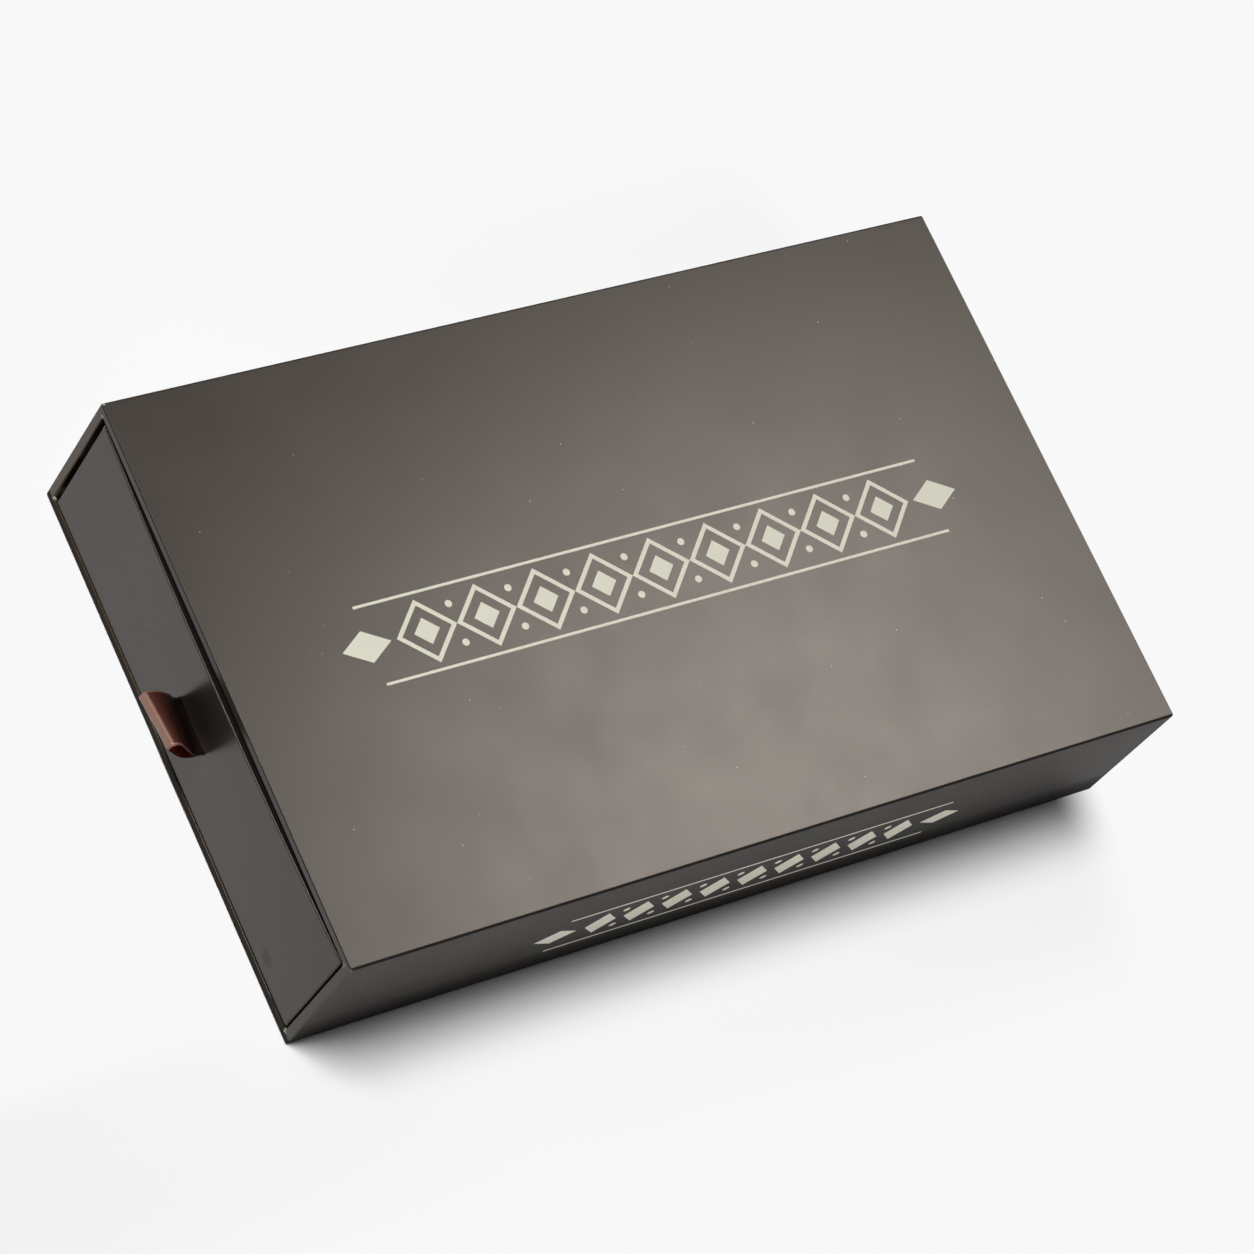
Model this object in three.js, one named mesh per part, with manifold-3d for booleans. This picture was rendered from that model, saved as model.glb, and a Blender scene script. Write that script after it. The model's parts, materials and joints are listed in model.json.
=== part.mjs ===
// Sliding drawer gift box: a rigid paperboard sleeve, open at one end, and a tray that a ribbon loop pulls out of it.
// Millimetres, +Z up. The mouth faces -Y, and the origin is the middle of the sleeve's footprint on the table.
import * as THREE from "three";
import { mergeVertices } from "three/addons/utils/BufferGeometryUtils.js";
import Module from "manifold-3d";

const wasm = await Module();
wasm.setup();

// Driving sizes of the sleeve
const sleeveWidth = 148;
const sleeveLength = 240;
const sleeveHeight = 46;
const sleeveBoardThickness = 2;
const sleeveFoldRadius = 0.6; // outside radius of the wrap along the four long edges
const mouthTurnIn = 15; // wrap folded over the mouth and glued inside
const backFlap = 15; // wrap folded over the back board
const seamPlace = 12; // from the right-hand wall to the seam of the wrap, under the base

// Driving sizes of the tray, with the gaps that let it slide
const trayBoardThickness = 2;
const trayFlap = 15; // wrap turned under the tray's base
const frontRecess = 0.3; // tray front inside the mouth when closed
const frontBow = 1.3; // how far the middle of the front's top edge is pulled outwards
const leftClearance = 1.3;
const rightClearance = 0.7;
const topClearance = 1.4;
const runningClearance = 0.3; // under the tray
const stopClearance = 0.3; // between the tray's back and the sleeve's back

// Driving sizes of the papers
const paperThickness = 0.16;
const glueThickness = 0.04;
const stayThickness = 0.1; // paper tape that holds two boards together at an edge
const stayReach = 12; // how far a stay reaches over each of the two boards
const coverInset = 1.5; // base, back and underside papers stop short of the edges
const jointGap = 0.05; // between boards or papers that meet edge to edge

// Driving sizes of the ribbon
const ribbonWidth = 15;
const ribbonThickness = 0.35;
const loopReach = 12.3; // how far the fold of the loop stands out from its root
const slotCentreHeight = 19.4; // above the tray's underside
const slotClearance = 0.25; // round the ribbon in its slot
const tailLength = 9; // each glued tail, from the slot
const patchMargin = 4; // patch beyond the tails
const rootGap = 0.3; // between the loop's root and the tray front
const layerGap = 0.03; // between the two layers at the root

// Fineness of the curves, and how far a cutting block runs past what it cuts
const arcSteps = 6;
const bowSteps = 24;
const loopSteps = 44;
const rootSides = 12;
const overrun = 1;

// The ribbon loop's section, from root to fold and back, outwards and upwards as shares of its reach
const lowerLayerShares = [[0.13, 0.04], [0.33, 0.1], [0.52, 0.24], [0.73, 0.47], [0.92, 0.67]];
const foldShares = [[1, 0.79], [0.98, 0.89]];
const upperLayerShares = [[0.86, 0.93], [0.7, 0.83], [0.5, 0.62], [0.28, 0.32], [0.12, 0.13]];

// Places of the sleeve's layers, as depths from the outside of the wrap
const coverLayer = paperThickness + glueThickness;
const wrapStandoff = stayThickness + 2 * glueThickness;
const sleeveStayDepth = paperThickness + glueThickness;
const sleeveBoardDepth = paperThickness + wrapStandoff;
const sleeveInnerDepth = sleeveBoardDepth + sleeveBoardThickness;
const sleeveLinerDepth = sleeveInnerDepth + glueThickness;
const sleeveWall = sleeveLinerDepth + paperThickness;

// Places along and across the sleeve
const sleeveLow = coverLayer;
const mouthY = -sleeveLength / 2;
const backY = sleeveLength / 2;
const wrapBackY = backY - coverLayer;
const boardFrontY = mouthY + paperThickness + glueThickness;
const boardBackY = wrapBackY - paperThickness - glueThickness;
const backBoardFrontY = boardBackY - sleeveBoardThickness;
const linerBackY = backBoardFrontY - glueThickness;
const stopY = linerBackY - paperThickness;
const sleeveFloor = sleeveLow + sleeveWall;
const innerHalfWidth = sleeveWidth / 2 - sleeveWall;

// Outside of the tray
const trayLeft = -innerHalfWidth + leftClearance;
const trayRight = innerHalfWidth - rightClearance;
const trayFront = mouthY + frontRecess;
const trayBack = stopY - stopClearance;
const trayLow = sleeveFloor + runningClearance;
const trayHigh = sleeveHeight - sleeveWall - topClearance;
const trayMiddle = (trayLeft + trayRight) / 2;
const trayHalfWidth = (trayRight - trayLeft) / 2;

// Places of the tray's layers, as depths from its outside
const trayStayDepth = paperThickness + glueThickness;
const trayBoardDepth = paperThickness + wrapStandoff;
const trayInnerDepth = trayBoardDepth + trayBoardThickness;
const trayLinerDepth = trayInnerDepth + glueThickness;
const trayWall = trayLinerDepth + paperThickness;
const trayWrapLow = trayLow + coverLayer;
const trayBoardLow = trayWrapLow + paperThickness + glueThickness;
const trayBoardHigh = trayHigh - paperThickness - glueThickness;
const floorBoardHigh = trayBoardLow + trayBoardThickness;
const floorPaperLow = floorBoardHigh + glueThickness;

// Slot and root of the ribbon
const slotZ = trayLow + slotCentreHeight;
const slotHalfHeight = ribbonThickness + slotClearance;
const slotHalfWidth = ribbonWidth / 2 + slotClearance;
const rootRadius = ribbonThickness + layerGap;
const layerOffset = (ribbonThickness + layerGap) / 2;

// Finishes
const charcoalWrap = new THREE.MeshStandardMaterial({ color: "#4c4743", roughness: 0.55, metalness: 0 });
const blackLiner = new THREE.MeshStandardMaterial({ color: "#1d1a18", roughness: 0.8, metalness: 0 });
const greyboard = new THREE.MeshStandardMaterial({ color: "#8a857b", roughness: 0.95, metalness: 0 });
const kraftTape = new THREE.MeshStandardMaterial({ color: "#a98a62", roughness: 0.85, metalness: 0 });
const brownSatin = new THREE.MeshStandardMaterial({ color: "#6a3d33", roughness: 0.35, metalness: 0 });

// A closed geometry as a solid that can be cut and joined
function solidOf(geometry) {
  const bare = geometry.clone();
  bare.deleteAttribute("normal");
  bare.deleteAttribute("uv");
  const merged = mergeVertices(bare);
  const vertProperties = merged.attributes.position.array;
  const triVerts = new Uint32Array(merged.index.array);
  return new wasm.Manifold(new wasm.Mesh({ numProp: 3, vertProperties, triVerts }));
}

// A solid as a named mesh of the part
function piece(name, solid, material) {
  const { vertProperties, triVerts } = solid.getMesh();
  const geometry = new THREE.BufferGeometry();
  geometry.setAttribute("position", new THREE.BufferAttribute(vertProperties, 3));
  geometry.setIndex(new THREE.BufferAttribute(triVerts, 1));
  geometry.computeVertexNormals();
  const mesh = new THREE.Mesh(geometry, material);
  mesh.name = name;
  return mesh;
}

// A box between two places on each axis
function boxBetween([x0, x1], [y0, y1], [z0, z1], stepsAcross = 1) {
  const geometry = new THREE.BoxGeometry(x1 - x0, y1 - y0, z1 - z0, stepsAcross, 1, 1);
  return geometry.translate((x0 + x1) / 2, (y0 + y1) / 2, (z0 + z1) / 2);
}

function block(xs, ys, zs) {
  return solidOf(boxBetween(xs, ys, zs));
}

// The sleeve's cross-section, taken in by a depth, as a bar along Y
function sleeveBar(depth, y0, y1) {
  const right = sleeveWidth / 2 - depth;
  const low = sleeveLow + depth;
  const high = sleeveHeight - depth;
  const radius = Math.max(sleeveFoldRadius - depth, 0);
  const outline = new THREE.Shape();
  if (radius > 0) {
    outline.absarc(right - radius, low + radius, radius, -Math.PI / 2, 0);
    outline.absarc(right - radius, high - radius, radius, 0, Math.PI / 2);
    outline.absarc(radius - right, high - radius, radius, Math.PI / 2, Math.PI);
    outline.absarc(radius - right, low + radius, radius, Math.PI, 1.5 * Math.PI);
  } else {
    outline.setFromPoints([
      new THREE.Vector2(-right, low),
      new THREE.Vector2(right, low),
      new THREE.Vector2(right, high),
      new THREE.Vector2(-right, high),
    ]);
  }
  const bar = new THREE.ExtrudeGeometry(outline, { depth: y1 - y0, bevelEnabled: false, curveSegments: arcSteps });
  return solidOf(bar.rotateX(Math.PI / 2).translate(0, y1, 0));
}

// How far the tray front bows outwards: most at the middle of its top edge, nothing at its ends and foot
function bowAt(x, z) {
  const across = (x - trayMiddle) / trayHalfWidth;
  const up = (z - trayLow) / (trayHigh - trayLow);
  return frontBow * (1 - across * across) * up;
}

// Moves what lies in the front half of the tray along with the bow
function bowed(geometry) {
  const places = geometry.attributes.position;
  for (let i = 0; i < places.count; i += 1) {
    if (places.getY(i) < 0) {
      places.setY(i, places.getY(i) - bowAt(places.getX(i), places.getZ(i)));
    }
  }
  return geometry;
}

// The tray's outside, taken in by a depth, between two heights
function trayBlock(depth, z0, z1) {
  const xs = [trayLeft + depth, trayRight - depth];
  const ys = [trayFront + depth, trayBack - depth];
  return solidOf(bowed(boxBetween(xs, ys, [z0, z1], bowSteps)));
}

// Four sleeve panels and the back panel, cut from one tube of board
function sleeveBoards() {
  const tube = sleeveBar(sleeveBoardDepth, boardFrontY, boardBackY).subtract(
    sleeveBar(sleeveInnerDepth, boardFrontY - overrun, boardBackY + overrun),
  );
  const outer = sleeveWidth / 2;
  const inner = sleeveWidth / 2 - sleeveInnerDepth;
  const baseTop = sleeveLow + sleeveInnerDepth;
  const roof = sleeveHeight - sleeveInnerDepth;
  const length = [boardFrontY - overrun, boardBackY + overrun];
  const sideHeight = [baseTop + jointGap, roof - jointGap];
  const backHeight = [baseTop + jointGap, roof - jointGap];
  const backWidth = [jointGap - inner, inner - jointGap];
  const cuts = {
    sleeve_top_board: block([-outer, outer], length, [roof, sleeveHeight]),
    sleeve_base_board: block([-outer, outer], length, [0, baseTop]),
    sleeve_left_board: block([-outer, -inner], length, sideHeight),
    sleeve_right_board: block([inner, outer], length, sideHeight),
  };
  const panels = Object.entries(cuts).map(([name, cut]) => piece(name, tube.intersect(cut), greyboard));
  const back = block(backWidth, [backBoardFrontY, boardBackY], backHeight);
  return [...panels, piece("sleeve_back_board", back, greyboard)];
}

// Paper tape along the sleeve's four long edges, between the boards and the wrap
function sleeveStays() {
  const tape = sleeveBar(sleeveStayDepth, boardFrontY, boardBackY).subtract(
    sleeveBar(sleeveStayDepth + stayThickness, boardFrontY - overrun, boardBackY + overrun),
  );
  const outer = sleeveWidth / 2;
  const sides = { left: [-outer, stayReach - outer], right: [outer - stayReach, outer] };
  const levels = { base: [0, sleeveLow + stayReach], top: [sleeveHeight - stayReach, sleeveHeight] };
  const stays = [];
  for (const [level, heights] of Object.entries(levels)) {
    for (const [side, widths] of Object.entries(sides)) {
      const corner = block(widths, [boardFrontY - overrun, boardBackY + overrun], heights);
      stays.push(piece(`sleeve_${level}_${side}_stay`, tape.intersect(corner), kraftTape));
    }
  }
  return stays;
}

// The printed paper: round the four walls, over the mouth and in, and over the edges of the back
function sleeveWrap() {
  const skin = sleeveBar(0, mouthY, wrapBackY).subtract(
    sleeveBar(paperThickness, mouthY + paperThickness, wrapBackY - paperThickness),
  );
  const mouthHole = sleeveBar(sleeveWall, mouthY - overrun, mouthY + overrun);
  const backHole = sleeveBar(backFlap, wrapBackY - overrun, wrapBackY + overrun);
  const turnIn = sleeveBar(sleeveLinerDepth, mouthY, mouthY + mouthTurnIn).subtract(
    sleeveBar(sleeveWall, mouthY - overrun, mouthY + mouthTurnIn + overrun),
  );
  const seamX = sleeveWidth / 2 - seamPlace;
  const seam = block([seamX - jointGap, seamX + jointGap], [mouthY - overrun, backY], [0, sleeveFloor]);
  const wrap = skin.subtract(mouthHole).subtract(backHole).add(turnIn).subtract(seam);
  return piece("sleeve_wrap", wrap, charcoalWrap);
}

// Black paper on the inside of the sleeve, from the turned-in wrap to the back
function sleeveLiner() {
  const linerFrontY = mouthY + mouthTurnIn + jointGap;
  const liner = sleeveBar(sleeveLinerDepth, linerFrontY, linerBackY).subtract(
    sleeveBar(sleeveWall, linerFrontY - overrun, stopY),
  );
  return piece("sleeve_liner", liner, blackLiner);
}

// Plain papers that hide the edges of the wrap, under the base and on the back
function sleeveCovers() {
  const widths = [coverInset - sleeveWidth / 2, sleeveWidth / 2 - coverInset];
  const base = block(widths, [mouthY + coverInset, backY - coverInset], [0, paperThickness]);
  const back = block(widths, [backY - paperThickness, backY], [sleeveLow + coverInset, sleeveHeight - coverInset]);
  return [piece("sleeve_base_paper", base, charcoalWrap), piece("sleeve_back_paper", back, charcoalWrap)];
}

// The slot that the ribbon passes through, in the middle of the tray front
function ribbonSlot() {
  const widths = [trayMiddle - slotHalfWidth, trayMiddle + slotHalfWidth];
  const depths = [trayFront - frontBow - overrun, trayFront + trayWall + overrun];
  return block(widths, depths, [slotZ - slotHalfHeight, slotZ + slotHalfHeight]);
}

// Four tray walls, cut from one ring of board, and the board between them
function trayBoards() {
  const ring = trayBlock(trayBoardDepth, trayBoardLow, trayBoardHigh).subtract(
    trayBlock(trayInnerDepth, trayBoardLow - overrun, trayBoardHigh + overrun),
  );
  const heights = [trayBoardLow - overrun, trayBoardHigh + overrun];
  const frontY = trayFront + trayInnerDepth;
  const backWallY = trayBack - trayInnerDepth;
  const sideLength = [frontY + jointGap, backWallY - jointGap];
  const cuts = {
    tray_front_board: block([trayLeft, trayRight], [trayFront - frontBow - overrun, frontY], heights),
    tray_back_board: block([trayLeft, trayRight], [backWallY, trayBack], heights),
    tray_left_board: block([trayLeft, trayLeft + trayInnerDepth], sideLength, heights),
    tray_right_board: block([trayRight - trayInnerDepth, trayRight], sideLength, heights),
  };
  const slot = ribbonSlot();
  const walls = Object.entries(cuts).map(([name, cut]) =>
    piece(name, ring.intersect(cut).subtract(slot), greyboard),
  );
  const floor = trayBlock(trayInnerDepth + jointGap, trayBoardLow, floorBoardHigh);
  return [...walls, piece("tray_base_board", floor, greyboard)];
}

// Paper tape round the tray's four upright corners
function trayStays() {
  const tape = trayBlock(trayStayDepth, trayBoardLow, trayBoardHigh).subtract(
    trayBlock(trayStayDepth + stayThickness, trayBoardLow - overrun, trayBoardHigh + overrun),
  );
  const sides = { left: [trayLeft, trayLeft + stayReach], right: [trayRight - stayReach, trayRight] };
  const ends = { front: [trayFront - overrun, trayFront + stayReach], back: [trayBack - stayReach, trayBack] };
  const stays = [];
  for (const [end, lengths] of Object.entries(ends)) {
    for (const [side, widths] of Object.entries(sides)) {
      const corner = block(widths, lengths, [trayBoardLow - overrun, trayBoardHigh + overrun]);
      stays.push(piece(`tray_${end}_${side}_stay`, tape.intersect(corner), kraftTape));
    }
  }
  return stays;
}

// One paper round the tray's walls: turned under the base, and over the rim down to the floor
function trayWrap() {
  const skin = trayBlock(0, trayWrapLow, trayHigh).subtract(
    trayBlock(paperThickness, trayWrapLow + paperThickness, trayHigh - paperThickness),
  );
  const underHole = trayBlock(trayFlap, trayWrapLow - overrun, trayWrapLow + overrun);
  const rimHole = trayBlock(trayWall, trayHigh - overrun, trayHigh + overrun);
  const inside = trayBlock(trayLinerDepth, floorPaperLow, trayHigh).subtract(
    trayBlock(trayWall, floorPaperLow - overrun, trayHigh + overrun),
  );
  const wrap = skin.subtract(underHole).subtract(rimHole).add(inside).subtract(ribbonSlot());
  return piece("tray_wrap", wrap, charcoalWrap);
}

// Papers on the tray's floor and on its underside
function trayPapers() {
  const floor = trayBlock(trayWall + jointGap, floorPaperLow, floorPaperLow + paperThickness);
  const underside = trayBlock(coverInset, trayLow, trayLow + paperThickness);
  return [piece("tray_floor_paper", floor, blackLiner), piece("tray_underside_paper", underside, blackLiner)];
}

// The ribbon's two layers through the slot, spread up and down on the inside of the tray front
function ribbonTails() {
  const widths = [trayMiddle - ribbonWidth / 2, trayMiddle + ribbonWidth / 2];
  const tailY = trayFront + trayWall + glueThickness;
  const tailBackY = tailY + ribbonThickness;
  const neck = boxBetween(widths, [trayFront, tailBackY], [slotZ - ribbonThickness, slotZ + ribbonThickness]);
  const spread = boxBetween(widths, [tailY, tailBackY], [slotZ - tailLength, slotZ + tailLength]);
  return piece("ribbon_tails", solidOf(bowed(neck)).add(solidOf(bowed(spread))), brownSatin);
}

// Paper patch glued over the tails
function ribbonPatch() {
  const patchY = trayFront + trayWall + ribbonThickness + 2 * glueThickness;
  const halfWidth = ribbonWidth / 2 + patchMargin;
  const halfHeight = tailLength + patchMargin;
  const widths = [trayMiddle - halfWidth, trayMiddle + halfWidth];
  const patch = boxBetween(widths, [patchY, patchY + paperThickness], [slotZ - halfHeight, slotZ + halfHeight]);
  return piece("ribbon_patch", solidOf(bowed(patch)), blackLiner);
}

// The loop that is pulled, drawn round its root and standing outwards and upwards from it
function ribbonLoop() {
  const shares = [...lowerLayerShares, ...foldShares, ...upperLayerShares];
  const middle = new THREE.SplineCurve([
    new THREE.Vector2(0, -layerOffset),
    ...shares.map(([out, up]) => new THREE.Vector2(out * loopReach, up * loopReach)),
    new THREE.Vector2(0, layerOffset),
  ]);
  const lower = [];
  const upper = [];
  for (let step = 0; step <= loopSteps; step += 1) {
    const place = middle.getPointAt(step / loopSteps);
    const along = middle.getTangentAt(step / loopSteps);
    const aside = new THREE.Vector2(-along.y, along.x).multiplyScalar(ribbonThickness / 2);
    lower.push(place.clone().sub(aside));
    upper.push(place.clone().add(aside));
  }
  const section = new THREE.Shape([...lower, ...upper.reverse()]);
  const strip = new THREE.ExtrudeGeometry(section, { depth: ribbonWidth, bevelEnabled: false });
  const outwards = new THREE.Vector3(0, -1, 0);
  const upwards = new THREE.Vector3(0, 0, 1);
  const acrossRibbon = new THREE.Vector3(-1, 0, 0);
  strip.applyMatrix4(new THREE.Matrix4().makeBasis(outwards, upwards, acrossRibbon));
  strip.translate(ribbonWidth / 2, 0, 0);
  const root = new THREE.CylinderGeometry(rootRadius, rootRadius, ribbonWidth, rootSides).rotateZ(Math.PI / 2);
  const loop = piece("ribbon_loop", solidOf(strip).add(solidOf(root)), brownSatin);
  loop.position.set(trayMiddle, trayFront - bowAt(trayMiddle, slotZ) - rootGap - rootRadius, slotZ);
  return loop;
}

const sleeve = new THREE.Group();
sleeve.add(...sleeveBoards(), ...sleeveStays(), sleeveWrap(), sleeveLiner(), ...sleeveCovers());

const tray = new THREE.Group();
tray.add(...trayBoards(), ...trayStays(), trayWrap(), ...trayPapers(), ribbonTails(), ribbonPatch(), ribbonLoop());

const giftBox = new THREE.Group();
giftBox.add(sleeve, tray);

export default giftBox;
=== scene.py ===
import bisect
import json
import math

import bmesh
import bpy
from mathutils import Matrix, Quaternion, Vector


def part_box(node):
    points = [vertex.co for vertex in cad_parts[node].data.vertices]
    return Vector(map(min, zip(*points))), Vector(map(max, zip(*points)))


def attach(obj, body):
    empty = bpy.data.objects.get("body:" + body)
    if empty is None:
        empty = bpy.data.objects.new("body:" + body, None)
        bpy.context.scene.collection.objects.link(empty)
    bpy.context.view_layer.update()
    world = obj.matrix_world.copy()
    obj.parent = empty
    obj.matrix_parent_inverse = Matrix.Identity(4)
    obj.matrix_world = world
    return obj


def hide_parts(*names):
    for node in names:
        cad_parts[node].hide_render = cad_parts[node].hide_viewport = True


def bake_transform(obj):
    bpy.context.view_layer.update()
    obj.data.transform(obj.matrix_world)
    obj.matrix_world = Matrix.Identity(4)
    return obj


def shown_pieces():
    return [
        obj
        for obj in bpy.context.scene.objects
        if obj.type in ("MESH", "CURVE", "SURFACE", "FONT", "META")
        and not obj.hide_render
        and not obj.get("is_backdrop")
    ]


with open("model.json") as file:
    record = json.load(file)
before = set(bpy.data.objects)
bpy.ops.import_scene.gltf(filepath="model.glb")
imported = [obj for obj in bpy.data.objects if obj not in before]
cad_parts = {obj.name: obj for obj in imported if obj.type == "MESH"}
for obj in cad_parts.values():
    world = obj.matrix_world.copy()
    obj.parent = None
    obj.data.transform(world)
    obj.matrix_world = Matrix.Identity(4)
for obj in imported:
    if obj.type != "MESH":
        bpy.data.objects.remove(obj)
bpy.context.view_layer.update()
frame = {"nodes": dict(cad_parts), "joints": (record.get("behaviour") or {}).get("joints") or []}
mm = 0.001  # the frame is in metres
print("frame loaded")


# Camera, where the photograph was taken from and rolled as it was
cameraSetup = {
    "place": Vector((313.1, -577.1, 939.6)) * mm,
    "aim": Vector((5.46, -1.07, 23)) * mm,
    "roll": math.radians(41.33),
    "lens": 131.86,
    "sensor": 36,
}


def makeCamera(setup):
    data = bpy.data.cameras.new("camera")
    data.lens = setup["lens"]
    data.sensor_width = setup["sensor"]
    data.clip_start = 10 * mm
    camera = bpy.data.objects.new("camera", data)
    bpy.context.scene.collection.objects.link(camera)
    ahead = setup["aim"] - setup["place"]
    camera.rotation_mode = "QUATERNION"
    camera.rotation_quaternion = ahead.to_track_quat("-Z", "Y") @ Quaternion((0, 0, 1), setup["roll"])
    camera.location = setup["place"]
    bpy.context.scene.camera = camera


makeCamera(cameraSetup)
bpy.context.scene.view_settings.view_transform = "Standard"
print("camera placed")


# Sizes read from the frame
sleeveLow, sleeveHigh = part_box("sleeve_wrap")
linerLow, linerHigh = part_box("sleeve_liner")
basePaperLow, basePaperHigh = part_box("sleeve_base_paper")
trayLow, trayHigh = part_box("tray_wrap")
floorPaperLow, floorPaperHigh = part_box("tray_floor_paper")
undersideLow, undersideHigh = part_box("tray_underside_paper")
patchLow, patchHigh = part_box("ribbon_patch")
tailsLow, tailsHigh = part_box("ribbon_tails")
paperThickness = basePaperHigh.z - basePaperLow.z
wallThickness = sleeveHigh.x - linerHigh.x + paperThickness
ribbonRoot = Vector(next(joint for joint in frame["joints"] if joint["name"] == "ribbon_flex")["pos_m"])
trayMiddle = (trayLow.x + trayHigh.x) / 2
trayHalfWidth = (trayHigh.x - trayLow.x) / 2

drawerFront = {
    "bow": 1.3 * mm,  # how far the middle of the top edge is pulled outwards
    "columns": 32,
    "slotHalfWidth": 7.75 * mm,
    "slotHalfHeight": 0.6 * mm,
}
trayFrontY = trayLow.y + drawerFront["bow"]


def bowAt(x, z):
    across = (x - trayMiddle) / trayHalfWidth
    up = (z - undersideLow.z) / (trayHigh.z - undersideLow.z)
    return drawerFront["bow"] * (1 - across * across) * up


# Mesh helpers
def cubeBetween(bm, low, high):
    made = bmesh.ops.create_cube(bm, size=1)["verts"]
    bmesh.ops.scale(bm, vec=Vector(high) - Vector(low), verts=made)
    bmesh.ops.translate(bm, vec=(Vector(low) + Vector(high)) / 2, verts=made)


def isNear(value, target, reach=1e-6):
    return abs(value - target) < reach


def facesFacing(bm, direction):
    bm.normal_update()
    return [face for face in bm.faces if face.normal.dot(Vector(direction)) > 0.999]


def edgesWhere(bm, test):
    return [edge for edge in bm.edges if all(test(corner.co) for corner in edge.verts)]


def rimEdges(bm, direction):  # edges between a face that looks this way and one that doesn't
    facing = set(facesFacing(bm, direction))
    return [edge for edge in bm.edges
            if len(edge.link_faces) == 2 and sum(face in facing for face in edge.link_faces) == 1]


def roundEdges(bm, edges, radius, segments):
    bmesh.ops.bevel(bm, geom=edges, offset=radius, offset_type="OFFSET", affect="EDGES",
                    segments=segments, profile=0.5, material=-1, clamp_overlap=False)


def foldInwards(bm, faces, wall, depth, direction):  # a rim as wide as the wall, then a turn down its inside
    bmesh.ops.inset_region(bm, faces=faces, thickness=wall, use_even_offset=True)
    pulled = bmesh.ops.extrude_face_region(bm, geom=faces)["geom"]
    corners = [item for item in pulled if isinstance(item, bmesh.types.BMVert)]
    ends = [item for item in pulled if isinstance(item, bmesh.types.BMFace)]
    bmesh.ops.translate(bm, vec=Vector(direction) * depth, verts=corners)
    bmesh.ops.delete(bm, geom=faces + ends, context="FACES")


def openInside(bm, faces, margin):  # leaves a frame of this width and drops the middle
    bmesh.ops.inset_region(bm, faces=faces, thickness=margin, use_even_offset=True)
    bmesh.ops.delete(bm, geom=faces, context="FACES")


def cutAt(bm, places, axis):
    for place in places:
        everything = bm.verts[:] + bm.edges[:] + bm.faces[:]
        bmesh.ops.bisect_plane(bm, geom=everything, plane_co=Vector(axis) * place, plane_no=axis)


def dropFaces(bm, test):
    gone = [face for face in bm.faces if test(face.calc_center_median())]
    bmesh.ops.delete(bm, geom=gone, context="FACES")


def evenPlaces(low, high, count):  # cuts that let a paper follow the bow
    return [low + (high - low) * step / count for step in range(1, count)]


def bowFront(bm):
    for corner in bm.verts:
        if corner.co.y < 0:
            corner.co.y -= bowAt(corner.co.x, corner.co.z)


def addPiece(name, bm, material, body, replaced=(), thickness=0):
    mesh = bpy.data.meshes.new(name)
    bm.to_mesh(mesh)
    bm.free()
    mesh.shade_smooth()
    mesh.materials.append(material)
    piece = bpy.data.objects.new(name, mesh)
    bpy.context.scene.collection.objects.link(piece)
    if thickness:
        wall = piece.modifiers.new("paper", "SOLIDIFY")
        wall.thickness = thickness
        wall.offset = -1
        wall.use_even_offset = True
    piece.modifiers.new("evened", "WEIGHTED_NORMAL")
    if body:
        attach(piece, body)
    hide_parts(*replaced)
    return piece


# Material helpers
def toLinear(hexColour):  # an sRGB hex colour as the linear colour that a socket takes
    shares = [int(hexColour[start:start + 2], 16) / 255 for start in (1, 3, 5)]
    return [s / 12.92 if s <= 0.04045 else ((s + 0.055) / 1.055) ** 2.4 for s in shares] + [1]


def addNode(tree, kind, settings=None, links=None):
    node = tree.nodes.new("ShaderNode" + kind)
    for name, value in (settings or {}).items():
        if isinstance(name, str) and hasattr(node, name):
            setattr(node, name, value)
        else:
            node.inputs[name].default_value = value
    for name, source in (links or {}).items():
        tree.links.new(source, node.inputs[name])
    return node


def startMaterial(name):
    material = bpy.data.materials.new(name)
    material.use_nodes = True
    tree = material.node_tree
    tree.nodes.clear()
    return material, tree, addNode(tree, "TexCoord").outputs["Object"]


def finishMaterial(tree, shader):
    addNode(tree, "OutputMaterial", {}, {"Surface": shader.outputs[0]})


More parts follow.
